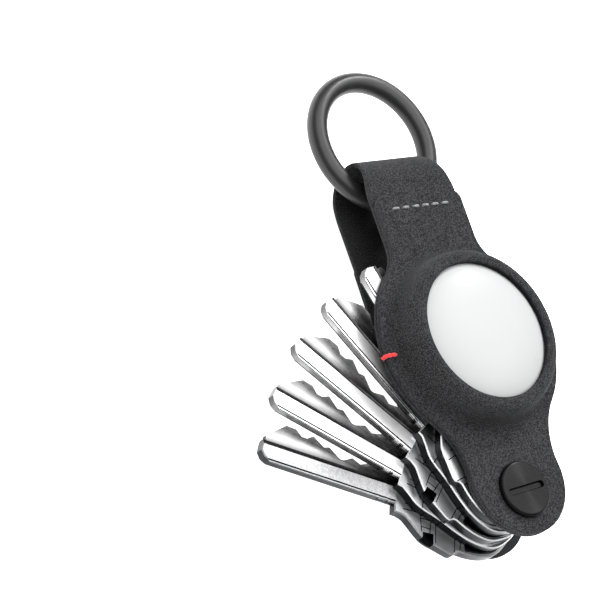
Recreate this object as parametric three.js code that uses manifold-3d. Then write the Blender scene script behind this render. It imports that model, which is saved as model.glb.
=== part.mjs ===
// Key organiser: a folded suede strap holding five keys on a slotted Chicago screw,
// with a moulded pocket for a round tracker on its front leaf and a carry ring in its loop.
// Millimetres. The pivot axis is Z, the strap runs along +Y to the ring, and the back is at z = 0.
import * as THREE from "three";
import * as BufferGeometryUtils from "three/addons/utils/BufferGeometryUtils.js";
import Module from "manifold-3d";

const wasm = await Module();
wasm.setup();

// ---- Driving dimensions ----
const GAP = 0.02;                 // air between two faces that lie on each other

// Suede layers
const LEAF = 0.9;                 // thickness of one layer
const PIVOT_END_Y = 2.35;         // centre of the round end at the pivot
const PIVOT_END_R = 11;
const TRACKER_Y = 30.45;          // centre of the tracker above the pivot
const BROAD_R = 20.6;             // the front leaf round the tracker
const WAIST_R = 16;               // hollow between the pivot end and the tracker
const SHOULDER_R = 7;             // hollow between the tracker and the neck
const NECK_HALF = 10.7;
const BACK_HALF = 9.3;            // the back leaf is a plain strip
const LOOP_HALF = 7.7;            // half width at the top of the loop
const LOOP_TAPER = 13.0;          // length over which the strap widens from the loop
const COVER_TOP_Y = 61.4;
const COVER_CORNER_R = 2.2;
const LOOP_AXIS_Y = 64.6;

// Keys and the stack they turn in
const KEY_ANGLES = [64.7, 52.9, 40.4, 28.1, 15.3];   // from +Y towards -X, lowest key first
const KEY_BOWS = ["wide", "slim", "wide", "slim", "wide"];
const KEY_T = 2.1;
const BIT_T = 1.2;                // the cut half of the blade is thinner
const KEY_BORE_R = 2.45;
const SPACER_T = 0.12;
const SPACER_R = 4.5;

// Chicago screw
const HEAD_R = 5.55;
const POST_HEAD_T = 0.9;
const POST_R = 2.25;
const THREAD_R = 1.6;
const SHANK_R = 1.5;
const SCREW_HEAD_T = 1.2;
const SLOT_L = 8.8;
const SLOT_W = 1.1;
const SLOT_D = 0.6;
const SLOT_ANGLE = 5;             // degrees from +X

// Tracker and its pocket
const WINDOW_R = 13.8;
const POCKET_R = 16.1;
const STEEL_R = 12.95;

// Carry ring
const RING_R = 12.8;
const RING_TUBE_R = 2.0;
const RING_SAG = 2.0;             // the ring lies this far below the centre of the loop
const RING_X = 0.6;               // and this far to the right of it

// Threads
const SEAM_Y = 58.7;
const SEAM_STITCHES = 6;
const SEAM_PITCH = 2.45;
const SEAM_STITCH_L = 1.2;
const SEAM_R = 0.27;
const EDGE_THREAD_R = 0.4;
const EDGE_THREAD_Y = 29.9;

const ROUND_STEPS = 48;           // facets round the pocket wall

// ---- Heights, worked out from the layers ----
const backLeafZ = POST_HEAD_T + GAP;
const stackZ = backLeafZ + LEAF + GAP;
const keyPitch = SPACER_T + KEY_T + 2 * GAP;
const stackTop = stackZ + KEY_ANGLES.length * keyPitch + SPACER_T + GAP;
const frontLeafZ = stackTop;
const coverZ = frontLeafZ + LEAF + GAP;
const coverTop = coverZ + LEAF;
const trackerZ = coverZ;
const screwHeadZ = coverTop + GAP;
const loopOuterR = (frontLeafZ + LEAF - backLeafZ) / 2;
const loopAxisZ = backLeafZ + loopOuterR;
const ringY = LOOP_AXIS_Y - RING_SAG + RING_R;

// ---- Materials ----
const SUEDE = { color: 0x35363a, roughness: 0.95, metalness: 0 };
const BLACK_METAL = { color: 0x26272a, roughness: 0.42, metalness: 0.6 };
const CHROME = { color: 0xd9dcdf, roughness: 0.12, metalness: 1 };
const STEEL = { color: 0xb9bcc0, roughness: 0.25, metalness: 1 };
const WHITE_PLASTIC = { color: 0xf4f5f5, roughness: 0.3, metalness: 0 };
const NYLON = { color: 0x1c1d1f, roughness: 0.5, metalness: 0 };
const BOARD = { color: 0x1f4a38, roughness: 0.5, metalness: 0 };
const COPPER = { color: 0xb56a3a, roughness: 0.4, metalness: 1 };
const GREY_THREAD = { color: 0x9c9ea3, roughness: 0.85, metalness: 0 };
const RED_THREAD = { color: 0xe3242b, roughness: 0.7, metalness: 0 };

const organiser = new THREE.Group();

function addMesh(name, geometry, material, parent = organiser) {
  const mesh = new THREE.Mesh(geometry, new THREE.MeshStandardMaterial(material));
  mesh.name = name;
  parent.add(mesh);
  return mesh;
}

// ---- Solids ----
function toSolid(geometry) {
  const bare = geometry.clone();
  bare.deleteAttribute("normal");
  bare.deleteAttribute("uv");
  const merged = BufferGeometryUtils.mergeVertices(bare, 1e-4);
  return new wasm.Manifold(new wasm.Mesh({
    numProp: 3,
    vertProperties: new Float32Array(merged.attributes.position.array),
    triVerts: new Uint32Array(merged.index.array),
  }));
}

function toGeometry(solid) {
  const mesh = solid.getMesh();
  const geometry = new THREE.BufferGeometry();
  geometry.setAttribute("position", new THREE.BufferAttribute(new Float32Array(mesh.vertProperties), 3));
  geometry.setIndex(new THREE.BufferAttribute(new Uint32Array(mesh.triVerts), 1));
  geometry.computeVertexNormals();
  return geometry;
}

function plate(shape, zLow, zHigh, curveSegments = 24) {
  const geometry = new THREE.ExtrudeGeometry(shape, {
    depth: zHigh - zLow,
    bevelEnabled: false,
    curveSegments,
  });
  return toSolid(geometry.translate(0, 0, zLow));
}

// A solid of revolution about Z from [radius, height] pairs.
function turned(profile, segments = 32) {
  const points = profile.map(([r, z]) => new THREE.Vector2(r, z));
  const geometry = new THREE.LatheGeometry(points, segments);
  return toSolid(geometry.rotateX(Math.PI / 2));
}

function cylinder(radius, zLow, zHigh, x = 0, y = 0, segments = 24) {
  const geometry = new THREE.CylinderGeometry(radius, radius, zHigh - zLow, segments);
  geometry.rotateX(Math.PI / 2);
  return toSolid(geometry.translate(x, y, (zLow + zHigh) / 2));
}

function capsuleBetween(a, b, radius) {
  const start = new THREE.Vector3(...a);
  const end = new THREE.Vector3(...b);
  const along = end.clone().sub(start);
  const geometry = new THREE.CapsuleGeometry(radius, along.length(), 1, 6);
  const turn = new THREE.Quaternion().setFromUnitVectors(new THREE.Vector3(0, 1, 0), along.normalize());
  geometry.applyQuaternion(turn);
  const middle = start.add(end).multiplyScalar(0.5);
  return toSolid(geometry.translate(middle.x, middle.y, middle.z));
}

function united(solids) {
  return solids.reduce((all, one) => all.add(one));
}

function radians(degrees) {
  return degrees * Math.PI / 180;
}

function mirrored(points) {
  return points.map(([x, y]) => [-x, y]).reverse();
}

function shapeOf(points) {
  return new THREE.Shape(points.map(([x, y]) => new THREE.Vector2(x, y)));
}

// Points of an arc about (cx, cy) from one angle to another, in degrees.
function arc(cx, cy, radius, from, to, steps) {
  return Array.from({ length: steps + 1 }, (_, i) => {
    const angle = radians(from + (to - from) * i / steps);
    return [cx + radius * Math.cos(angle), cy + radius * Math.sin(angle)];
  });
}

// ---- Outlines of the suede, right half, from the pivot end up ----
// The hollow of the waist touches the pivot end and the broad part.
function waistArc() {
  const apart = TRACKER_Y - PIVOT_END_Y;
  const toEnd = PIVOT_END_R + WAIST_R;
  const toBroad = BROAD_R + WAIST_R;
  const up = (apart ** 2 + toEnd ** 2 - toBroad ** 2) / (2 * apart);
  const centre = [Math.sqrt(toEnd ** 2 - up ** 2), PIVOT_END_Y + up];
  const toEndAngle = Math.atan2(PIVOT_END_Y - centre[1], -centre[0]) * 180 / Math.PI;
  const toBroadAngle = Math.atan2(TRACKER_Y - centre[1], -centre[0]) * 180 / Math.PI;
  return { centre, from: toEndAngle + 360, to: toBroadAngle };
}

// The hollow of the shoulder touches the broad part and the side of the neck.
function shoulderArc() {
  const x = NECK_HALF + SHOULDER_R;
  const up = Math.sqrt((BROAD_R + SHOULDER_R) ** 2 - x ** 2);
  const toBroadAngle = Math.atan2(-up, -x) * 180 / Math.PI;
  return { centre: [x, TRACKER_Y + up], from: toBroadAngle + 360, to: 180 };
}

function frontSide() {
  const waist = waistArc();
  const shoulder = shoulderArc();
  return [
    ...arc(0, PIVOT_END_Y, PIVOT_END_R, -90, waist.from - 180, 16),
    ...arc(...waist.centre, WAIST_R, waist.from, waist.to, 8).slice(1),
    ...arc(0, TRACKER_Y, BROAD_R, waist.to - 180, shoulder.from - 180, 22).slice(1),
    ...arc(...shoulder.centre, SHOULDER_R, shoulder.from, shoulder.to, 7).slice(1),
  ];
}

function backSide() {
  return arc(0, PIVOT_END_Y, PIVOT_END_R, -90, 10, 18);
}

// Half width of the strap at a length along it from the top of the loop.
function loopHalf(length, leafHalf) {
  const t = Math.min(1, length / LOOP_TAPER);
  return LOOP_HALF + (leafHalf - LOOP_HALF) * t * t * (3 - 2 * t);
}

// The same taper seen in plan, from the straight leaf up over the loop.
function taperSide(leafHalf) {
  const points = [];
  const middleR = loopOuterR - LEAF / 2;
  const straight = LOOP_TAPER - middleR * Math.PI / 2;
  for (let i = 0; i < 3; i += 1) {
    const below = straight * (1 - i / 3);
    points.push([loopHalf(middleR * Math.PI / 2 + below, leafHalf), LOOP_AXIS_Y - below]);
  }
  for (let degrees = 0; degrees <= 90; degrees += 10) {
    const y = LOOP_AXIS_Y + loopOuterR * Math.sin(radians(degrees));
    points.push([loopHalf(middleR * radians(90 - degrees), leafHalf), y]);
  }
  return points;
}

const TRIM = 1;                   // outlines run past the loop by this, and the loop's section trims them

function strapOutline(side, leafHalf) {
  const half = [...side, ...taperSide(leafHalf)];
  half.push([LOOP_HALF, LOOP_AXIS_Y + loopOuterR + TRIM]);
  return shapeOf([...half, ...mirrored(half).slice(0, -1)]);
}

function coverOutline() {
  const cornerX = NECK_HALF - COVER_CORNER_R;
  const half = [
    ...frontSide(),
    ...arc(cornerX, COVER_TOP_Y - COVER_CORNER_R, COVER_CORNER_R, 0, 90, 5),
  ];
  return shapeOf([...half, ...mirrored(half).slice(0, -1)]);
}

// The strap seen from the side: two leaves joined by the loop.
function strapSection() {
  const bottom = PIVOT_END_Y - PIVOT_END_R - TRIM;
  const innerR = loopOuterR - LEAF;
  const outer = arc(LOOP_AXIS_Y, loopAxisZ, loopOuterR, -90, 90, 18);
  const inner = arc(LOOP_AXIS_Y, loopAxisZ, innerR, 90, -90, 18);
  return shapeOf([
    [bottom, backLeafZ],
    ...outer,
    [bottom, frontLeafZ + LEAF],
    [bottom, frontLeafZ],
    ...inner,
    [bottom, backLeafZ + LEAF],
  ]);
}

// ---- Threads ----
const seamTopZ = coverTop + SEAM_R * 0.8;
const seamBackZ = frontLeafZ - SEAM_R * 0.8;

function seamStitchEnds() {
  return Array.from({ length: SEAM_STITCHES }, (_, i) => {
    const middle = (i - (SEAM_STITCHES - 1) / 2) * SEAM_PITCH;
    return [middle - SEAM_STITCH_L / 2, middle + SEAM_STITCH_L / 2];
  });
}

// A running stitch: over the cover, down through both layers, under the strap and up again.
function seamSolid(radius) {
  const ends = seamStitchEnds();
  const pieces = [];
  ends.forEach(([left, right], i) => {
    pieces.push(capsuleBetween([left, SEAM_Y, seamTopZ], [right, SEAM_Y, seamTopZ], radius));
    pieces.push(capsuleBetween([left, SEAM_Y, seamBackZ], [left, SEAM_Y, seamTopZ], radius));
    pieces.push(capsuleBetween([right, SEAM_Y, seamBackZ], [right, SEAM_Y, seamTopZ], radius));
    if (i + 1 < ends.length) {
      pieces.push(capsuleBetween([right, SEAM_Y, seamBackZ], [ends[i + 1][0], SEAM_Y, seamBackZ], radius));
    }
  });
  return united(pieces);
}

// One turn of thread round the edge of the front leaf, let into its underside.
function edgeThreadSolid(radius) {
  const inside = -(BROAD_R - 2.1);
  const outside = -(BROAD_R + EDGE_THREAD_R + 0.05);
  const high = coverTop + EDGE_THREAD_R * 0.7;
  const low = frontLeafZ + EDGE_THREAD_R + 0.1;
  const corners = [[inside, high], [outside, high], [outside, low], [inside, low]];
  return united(corners.map(([x, z], i) => {
    const [nextX, nextZ] = corners[(i + 1) % corners.length];
    return capsuleBetween([x, EDGE_THREAD_Y, z], [nextX, EDGE_THREAD_Y, nextZ], radius);
  }));
}

const THREAD_HOLE = 0.08;         // the holes are this much larger than the thread, all round
const seamHoles = seamSolid(SEAM_R + THREAD_HOLE);
const edgeHoles = edgeThreadSolid(EDGE_THREAD_R + THREAD_HOLE);

// ---- Suede ----
function strapSolid() {
  const reach = BROAD_R + TRIM;
  const section = new THREE.ExtrudeGeometry(strapSection(), { depth: 2 * reach, bevelEnabled: false });
  section.rotateX(Math.PI / 2);
  section.rotateZ(Math.PI / 2);
  section.translate(-reach, 0, 0);
  const overlap = 0.5;
  const front = plate(strapOutline(frontSide(), NECK_HALF), loopAxisZ - overlap, coverTop);
  const back = plate(strapOutline(backSide(), BACK_HALF), 0, loopAxisZ + overlap);
  return toSolid(section)
    .intersect(front.add(back))
    .subtract(cylinder(POST_R + 0.15, 0, coverTop))
    .subtract(seamHoles)
    .subtract(edgeHoles);
}

// Inner and outer faces of the moulded pocket wall, as heights above the underside of the cover.
const POCKET_PROFILE = [
  [POCKET_R, 0], [18.9, 0], [18.9, LEAF], [17.8, 1.1], [17.1, 1.9], [16.95, 3.2], [16.9, 4.6], [16.7, 5.8],
  [16.2, 6.75], [15.3, 7.3], [14.3, 7.3], [WINDOW_R, 7.0], [WINDOW_R, 6.25], [14.9, 5.7], [15.7, 4.7],
  [POCKET_R, 3.8],
];

function coverSolid() {
  const wall = turned([...POCKET_PROFILE, POCKET_PROFILE[0]], ROUND_STEPS).translate(0, TRACKER_Y, coverZ);
  return plate(coverOutline(), coverZ, coverTop)
    .subtract(cylinder(POCKET_R + 1, 0, coverTop + 1, 0, TRACKER_Y, ROUND_STEPS))
    .add(wall)
    .subtract(cylinder(POST_R + 0.15, 0, coverTop + 1))
    .subtract(seamHoles)
    .subtract(edgeHoles);
}

addMesh("strap", toGeometry(strapSolid()), SUEDE);
addMesh("front_cover", toGeometry(coverSolid()), SUEDE);
addMesh("seam_thread", toGeometry(seamSolid(SEAM_R)), GREY_THREAD);
addMesh("red_edge_thread", toGeometry(edgeThreadSolid(EDGE_THREAD_R)), RED_THREAD);

// ---- Chicago screw ----
const postTop = frontLeafZ + LEAF * 0.7;
const POST_PROFILE = [
  [0, 0], [HEAD_R - 0.3, 0], [HEAD_R, 0.3], [HEAD_R, POST_HEAD_T], [POST_R, POST_HEAD_T], [POST_R, postTop],
  [THREAD_R, postTop], [THREAD_R, 3], [0, 3],
];
addMesh("pivot_post", toGeometry(turned(POST_PROFILE)), BLACK_METAL);

function screwSolid() {
  const profile = [
    [0, 5], [SHANK_R, 5], [SHANK_R, screwHeadZ], [HEAD_R, screwHeadZ],
    [HEAD_R, screwHeadZ + SCREW_HEAD_T - 0.35], [HEAD_R - 0.35, screwHeadZ + SCREW_HEAD_T],
    [0, screwHeadZ + SCREW_HEAD_T],
  ];
  const end = (SLOT_L - SLOT_W) / 2;
  const slot = shapeOf([
    ...arc(end, 0, SLOT_W / 2, -90, 90, 8),
    ...arc(-end, 0, SLOT_W / 2, 90, 270, 8),
  ]);
  const floorZ = screwHeadZ + SCREW_HEAD_T - SLOT_D;
  const cut = plate(slot, floorZ, floorZ + 2).rotate([0, 0, SLOT_ANGLE]);
  return turned(profile).subtract(cut);
}
addMesh("pivot_screw", toGeometry(screwSolid()), BLACK_METAL);

// ---- Keys and spacers ----
// Right half of each kind of bow: its round far end, then its side up to the blade.
const BOWS = {
  wide: {
    back: [[0, -5.9], [3.3, -5.35], [6.6, -3.6], [8.9, -1.6], [10.1, 1.0], [10.7, 4.0], [10.8, 6.8]],
    front: [[11.6, 7.2], [11.7, 9.0], [11.3, 12.0], [10.2, 14.7], [8.7, 17.1], [7.2, 18.8], [6.6, 20.2]],
  },
  slim: {
    back: [[0, -5.9], [3.3, -5.35], [6.4, -3.8], [8.5, -1.9], [9.6, 0.8], [10.0, 4.0], [9.8, 6.8]],
    front: [[9.6, 8.2], [9.2, 10.5], [9.0, 12.6], [8.9, 14.4], [8.5, 16.6], [7.4, 18.6], [6.6, 20.2]],
  },
};
const SHOULDER_Y = 21.3;
const SHOULDER_HALF = 6.6;
const BLADE_HALF = 4.1;
const BLADE_TIP_Y = 50.9;
const SPINE_HALF = 4.7;           // the uncut side of the blade
const RIB_STEP = -1.0;            // where the thick half of the blade steps down to the cut half
// Cut edge of the blade, from the bow to the tip.
const BITTING = [
  [BLADE_HALF, SHOULDER_Y - 0.5], [BLADE_HALF, 24.2], [3.3, 25.5], [1.9, 27.1], [1.0, 29.0], [1.85, 30.7],
  [0.75, 32.7], [0.7, 33.5], [2.5, 35.9], [2.1, 37.1], [3.8, 39.4], [2.8, 40.8], [2.8, 42.0], [4.0, 43.2],
  [BLADE_HALF, 45.4], [0.6, 49.9],
];

function smooth(points, steps) {
  const curve = new THREE.SplineCurve(points.map(([x, y]) => new THREE.Vector2(x, y)));
  return curve.getPoints(steps).map((p) => [p.x, p.y]);
}

function bowShape({ back, front }) {
  const half = [
    ...smooth(back, 14),
    ...smooth(front, 14),
    [SHOULDER_HALF, SHOULDER_Y],
    [0, SHOULDER_Y],
  ];
  return shapeOf([...half, ...mirrored(half.slice(1, -1))]);
}

// The thick half of the blade, on the side away from the cuts, with a chamfered tip.
function ribShape() {
  return shapeOf([
    [RIB_STEP, SHOULDER_Y - 2], [RIB_STEP, BLADE_TIP_Y - 0.3], [-2.8, BLADE_TIP_Y], [-4.0, BLADE_TIP_Y - 0.7],
    [-SPINE_HALF, BLADE_TIP_Y - 2], [-SPINE_HALF, SHOULDER_Y - 2],
  ]);
}

function bittingShape() {
  const under = RIB_STEP - 1;
  return shapeOf([[under, SHOULDER_Y - 2], ...BITTING, [under, BLADE_TIP_Y - 1]]);
}

// The bow's lightening hole: a large round and a small one, joined.
function bowHole(side) {
  const rounds = [[7.4 * side, 2.4, 1.6], [6.2 * side, -0.9, 0.9]];
  return wasm.Manifold.hull(rounds.map(([x, y, r]) => cylinder(r, -1, KEY_T + 1, x, y, 12)));
}

function keySolid(bow) {
  const bitLow = (KEY_T - BIT_T) / 2;
  return plate(bowShape(bow), 0, KEY_T)
    .add(plate(ribShape(), 0, KEY_T))
    .add(plate(bittingShape(), bitLow, bitLow + BIT_T))
    .subtract(cylinder(KEY_BORE_R, -1, KEY_T + 1))
    .subtract(bowHole(1))
    .subtract(bowHole(-1));
}

function spacerSolid() {
  return cylinder(SPACER_R, 0, SPACER_T).subtract(cylinder(POST_R + 0.15, -1, SPACER_T + 1));
}

const keyGeometries = {
  wide: toGeometry(keySolid(BOWS.wide)),
  slim: toGeometry(keySolid(BOWS.slim)),
};
const spacerGeometry = toGeometry(spacerSolid());
KEY_ANGLES.forEach((angle, i) => {
  const level = stackZ + i * keyPitch;
  const number = KEY_ANGLES.length - i;
  const spacer = addMesh(`spacer_${number + 1}`, spacerGeometry, NYLON);
  spacer.position.z = level;
  const key = addMesh(`key_${number}`, keyGeometries[KEY_BOWS[i]], CHROME);
  key.position.z = level + SPACER_T + GAP;
  key.rotation.z = radians(angle);
});
const topSpacer = addMesh("spacer_1", spacerGeometry, NYLON);
topSpacer.position.z = stackZ + KEY_ANGLES.length * keyPitch;

// ---- Carry ring ----
const ring = addMesh("carry_ring", new THREE.TorusGeometry(RING_R, RING_TUBE_R, 12, 40), BLACK_METAL);
ring.position.set(RING_X, ringY, loopAxisZ);

// ---- Tracker, in its own group, its steel back on the strap ----
const tracker = new THREE.Group();
tracker.position.set(0, TRACKER_Y, trackerZ);
organiser.add(tracker);

const SHELL_PROFILE = [
  [0, 8], [6, 7.83], [10, 7.36], [12, 6.85], [13.5, 6.15], [14.8, 5.1], [15.6, 4.1], [15.9, 3.15],
  [15.7, 2.1], [14.9, 1.3], [13.2, 0.7], [13.2, 1.7], [14.5, 2.8], [13.9, 4.2], [11, 5.7], [0, 6.8],
];
addMesh("tracker_shell", toGeometry(turned(SHELL_PROFILE.reverse())), WHITE_PLASTIC, tracker);

const STEEL_PROFILE = [
  [0, GAP], [10.5, GAP], [12.3, 0.25], [STEEL_R, 0.75], [STEEL_R, 1.5], [12.6, 1.5], [12.4, 0.75], [10.5, 0.5],
  [0, 0.45],
];
addMesh("tracker_back_cover", toGeometry(turned(STEEL_PROFILE)), STEEL, tracker);

const CELL_R = 10;
addMesh("tracker_coin_cell", toGeometry(turned([
  [0, 0.6], [CELL_R - 0.3, 0.6], [CELL_R, 0.9], [CELL_R, 3.6], [CELL_R - 1.2, 3.8], [0, 3.8],
])), STEEL, tracker);

const boardHole = 3.9;
addMesh("tracker_board", toGeometry(
  cylinder(12.2, 4.1, 4.7, 0, 0, 32).subtract(cylinder(boardHole, 4, 5)),
), BOARD, tracker);
addMesh("tracker_magnet", toGeometry(cylinder(2.9, 4.0, 6.1)), STEEL, tracker);
addMesh("tracker_coil", toGeometry(
  cylinder(3.7, 4.9, 6.3).subtract(cylinder(3.1, 4, 7)),
), COPPER, tracker);

// Three springs stand on the rim of the board's underside and press on the side of the cell.
function contactSolid(turn) {
  const foot = toSolid(new THREE.BoxGeometry(1.5, 1.6, 0.2).translate(11.15, 0, 3.95));
  const blade = toSolid(new THREE.BoxGeometry(0.3, 1.6, 2.2).translate(10.55, 0, 2.95));
  return foot.add(blade).rotate([0, 0, turn]);
}
[0, 120, 240].forEach((turn, i) => {
  addMesh(`tracker_contact_${i + 1}`, toGeometry(contactSolid(turn)), COPPER, tracker);
});

export default organiser;
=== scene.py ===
"""Looks of the key organiser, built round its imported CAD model.

Blender works in metres. The mesh code works in millimetres in the CAD frame and scales at the end:
the pivot axis is Z, the strap runs along +Y to the carry ring, and the back lies at z = 0.
"""
import math

import bmesh
import bpy
from mathutils import Matrix, Vector, noise


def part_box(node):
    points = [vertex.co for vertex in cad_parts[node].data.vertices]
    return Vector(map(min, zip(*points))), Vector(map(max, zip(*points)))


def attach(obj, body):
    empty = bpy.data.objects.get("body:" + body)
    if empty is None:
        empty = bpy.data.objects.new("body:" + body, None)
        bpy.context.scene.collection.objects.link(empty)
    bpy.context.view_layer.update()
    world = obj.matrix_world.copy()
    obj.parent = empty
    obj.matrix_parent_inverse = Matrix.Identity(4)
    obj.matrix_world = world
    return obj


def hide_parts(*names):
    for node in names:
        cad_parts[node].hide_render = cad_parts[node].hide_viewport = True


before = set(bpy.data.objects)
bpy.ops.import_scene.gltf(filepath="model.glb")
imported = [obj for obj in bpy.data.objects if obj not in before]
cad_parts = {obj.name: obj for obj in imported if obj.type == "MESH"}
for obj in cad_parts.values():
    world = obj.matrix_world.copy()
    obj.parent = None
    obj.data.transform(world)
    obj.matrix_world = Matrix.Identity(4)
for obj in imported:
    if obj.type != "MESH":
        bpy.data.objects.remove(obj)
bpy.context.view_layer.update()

MM = 0.001


# ---- Places taken from the CAD frame, in millimetres ----
def node_box(name):
    """Lowest and highest corner of a CAD node, in millimetres."""
    low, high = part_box(name)
    return low / MM, high / MM


strap_low, strap_high = node_box("strap")
cover_low, cover_high = node_box("front_cover")
shell_low, shell_high = node_box("tracker_shell")
screw_low, screw_high = node_box("pivot_screw")
post_low, post_high = node_box("pivot_post")
ring_low, ring_high = node_box("carry_ring")

LEAF = 0.9                                   # thickness of one suede layer
COVER_Z = cover_low.z
COVER_TOP = COVER_Z + LEAF
TRACKER = Vector((0, (shell_low.y + shell_high.y) / 2))
LOOP_OUTER = (strap_high.z - strap_low.z) / 2
LOOP_MIDDLE = LOOP_OUTER - LEAF / 2
LOOP_Z = (strap_high.z + strap_low.z) / 2
LOOP_Y = strap_high.y - LOOP_OUTER

# Outline of the suede: arcs that touch each other.
PIVOT_END_R = 11.0
PIVOT_END_Y = strap_low.y + PIVOT_END_R
BROAD_R = cover_high.x
WAIST_R = 16.0
SHOULDER_R = 7.0
NECK_HALF = 10.7
BACK_HALF = 9.3
LOOP_HALF = 7.7
LOOP_TAPER = 13.0
COVER_CORNER_R = 2.2
COVER_END_Y = cover_high.y

SHANK_HOLE_R = 2.4
SEAM_Y = 58.7
SEAM_STITCHES = 6
SEAM_PITCH = 2.45
SEAM_STITCH_L = 1.2
SEAM_R = 0.27
EDGE_THREAD_R = 0.4
EDGE_THREAD_Y = 29.9


# ---- Mesh helpers ----
def make_object(name, points, faces):
    """A mesh object, still in millimetres, with its faces turned outward."""
    mesh = bpy.data.meshes.new(name)
    mesh.from_pydata([tuple(p) for p in points], [], faces)
    shape = bmesh.new()
    shape.from_mesh(mesh)
    bmesh.ops.recalc_face_normals(shape, faces=shape.faces)
    shape.to_mesh(mesh)
    shape.free()
    made = bpy.data.objects.new(name, mesh)
    bpy.context.scene.collection.objects.link(made)
    return made


def loft(rings, closed_path=False):
    """Quads between closed rings that have one number of points, with a cap at each open end."""
    size = len(rings[0])
    count = len(rings)
    faces = []
    for i in range(count if closed_path else count - 1):
        here = i * size
        there = (i + 1) % count * size
        for j in range(size):
            k = (j + 1) % size
            faces.append((here + j, here + k, there + k, there + j))
    if not closed_path:
        faces.append(tuple(range(size)))
        faces.append(tuple(range((count - 1) * size, count * size)))
    return [p for ring in rings for p in ring], faces


def turned(name, profile, segments, centre=(0, 0)):
    """A solid of revolution about a line along Z, from (radius, height) pairs off the axis."""
    rings = []
    for radius, z in profile:
        rings.append([
            (centre[0] + radius * math.cos(turn), centre[1] + radius * math.sin(turn), z)
            for turn in (2 * math.pi * i / segments for i in range(segments))
        ])
    return make_object(name, *loft(rings))


def inset(outline, amount):
    """An anticlockwise outline moved inward, corner by corner."""
    moved = []
    for i, here in enumerate(outline):
        before = (here - outline[i - 1]).normalized()
        after = (outline[(i + 1) % len(outline)] - here).normalized()
        inward = Vector((-before.y - after.y, before.x + after.x)).normalized()
        across = max(0.4, inward.dot(Vector((-before.y, before.x))))
        moved.append(here + inward * amount / across)
    return moved


def prism(name, outline, low, high, bevel=0.0, draft=0.0):
    """An extruded outline. bevel breaks both rims; draft narrows the low end, as in a sunk basin."""
    outline = [Vector(p) for p in outline]
    if bevel:
        small = inset(outline, bevel)
        levels = [(small, low), (outline, low + bevel), (outline, high - bevel), (small, high)]
    else:
        levels = [(inset(outline, draft) if draft else outline, low), (outline, high)]
    return make_object(name, *loft([[(p.x, p.y, z) for p in ring] for ring, z in levels]))


def combine(piece, tool, operation="DIFFERENCE"):
    """Applies a boolean. Faces that the tool leaves keep the tool's material."""
    modifier = piece.modifiers.new("combine", "BOOLEAN")
    modifier.object = tool
    modifier.operation = operation
    modifier.solver = "EXACT"
    modifier.material_mode = "TRANSFER"
    graph = bpy.context.evaluated_depsgraph_get()
    made = bpy.data.meshes.new_from_object(piece.evaluated_get(graph))
    piece.modifiers.clear()
    piece.data = made
    bpy.data.objects.remove(tool)


def smooth_curve(points, steps):
    """A Catmull-Rom curve through the points, with steps pieces between neighbours."""
    points = [Vector(p) for p in points]
    padded = [2 * points[0] - points[1], *points, 2 * points[-1] - points[-2]]
    curve = []
    for a, b, c, d in zip(padded, padded[1:], padded[2:], padded[3:]):
        for i in range(steps):
            t = i / steps
            curve.append(0.5 * (2 * b + (c - a) * t + (2 * a - 5 * b + 4 * c - d) * t ** 2
                                + (3 * b - a - 3 * c + d) * t ** 3))
    return [*curve, points[-1]]


def arc(centre, radius, start, end, steps):
    """Points of an arc, angles in degrees."""
    return [
        Vector((centre[0] + radius * math.cos(turn), centre[1] + radius * math.sin(turn)))
        for turn in (math.radians(start + (end - start) * i / steps) for i in range(steps + 1))
    ]


def dress(piece, material, body, slot, *nodes, sharp=35.0):
    """Scales the piece to metres, gives it its material and body, and hides the CAD nodes it stands for. slot
    is not used.
    """
    piece.data.transform(Matrix.Scale(MM, 4))
    piece.location *= MM
    piece.data.polygons.foreach_set("use_smooth", [True] * len(piece.data.polygons))
    piece.data.set_sharp_from_angle(angle=math.radians(sharp))
    if not any(piece.data.materials):
        piece.data.materials.clear()
        piece.data.materials.append(material)
    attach(piece, body)
    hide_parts(*nodes)


# ---- Materials ----
def new_material(name, settings):
    material = bpy.data.materials.new(name)
    material.use_nodes = True
    shader = material.node_tree.nodes["Principled BSDF"]
    for socket, value in settings.items():
        shader.inputs[socket].default_value = value
    return material, material.node_tree, shader


def add_node(tree, kind, **properties):
    made = tree.nodes.new("ShaderNode" + kind)
    for name, value in properties.items():
        setattr(made, name, value)
    return made


def noise_field(tree, per_mm, detail=2.0, roughness=0.5, stretch=(1, 1, 1)):
    """Noise fixed to the piece, with about per_mm grains in a millimetre."""
    place = add_node(tree, "TexCoord")
    scale = add_node(tree, "Mapping")
    scale.inputs["Scale"].default_value = Vector(stretch) * per_mm / MM
    field = add_node(tree, "TexNoise")
    field.inputs["Scale"].default_value = 1.0
    field.inputs["Detail"].default_value = detail
    field.inputs["Roughness"].default_value = roughness
    tree.links.new(place.outputs["Object"], scale.inputs["Vector"])
    tree.links.new(scale.outputs["Vector"], field.inputs["Vector"])
    return field.outputs["Fac"]


def ramp(tree, factor, stops):
    """Colour from a factor: stops are (position, grey or colour) pairs."""
    made = add_node(tree, "ValToRGB")
    elements = made.color_ramp.elements
    while len(elements) < len(stops):
        elements.new(0.5)
    for element, (position, colour) in zip(elements, stops):
        element.position = position
        element.color = (*(colour if isinstance(colour, tuple) else (colour,) * 3), 1)
    tree.links.new(factor, made.inputs["Fac"])
    return made.outputs["Color"]


def mixed(tree, factor, first, second, blend_type="MIX"):
    """Mixes two colours. Each argument is a socket or a fixed value."""
    made = add_node(tree, "Mix", data_type="RGBA", blend_type=blend_type)
    for socket, value in zip((made.inputs[0], made.inputs[6], made.inputs[7]), (factor, first, second)):
        if isinstance(value, bpy.types.NodeSocket):
            tree.links.new(value, socket)
        elif isinstance(value, tuple):
            socket.default_value = (*value, 1)
        else:
            socket.default_value = value
    return made.outputs[2]


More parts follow.
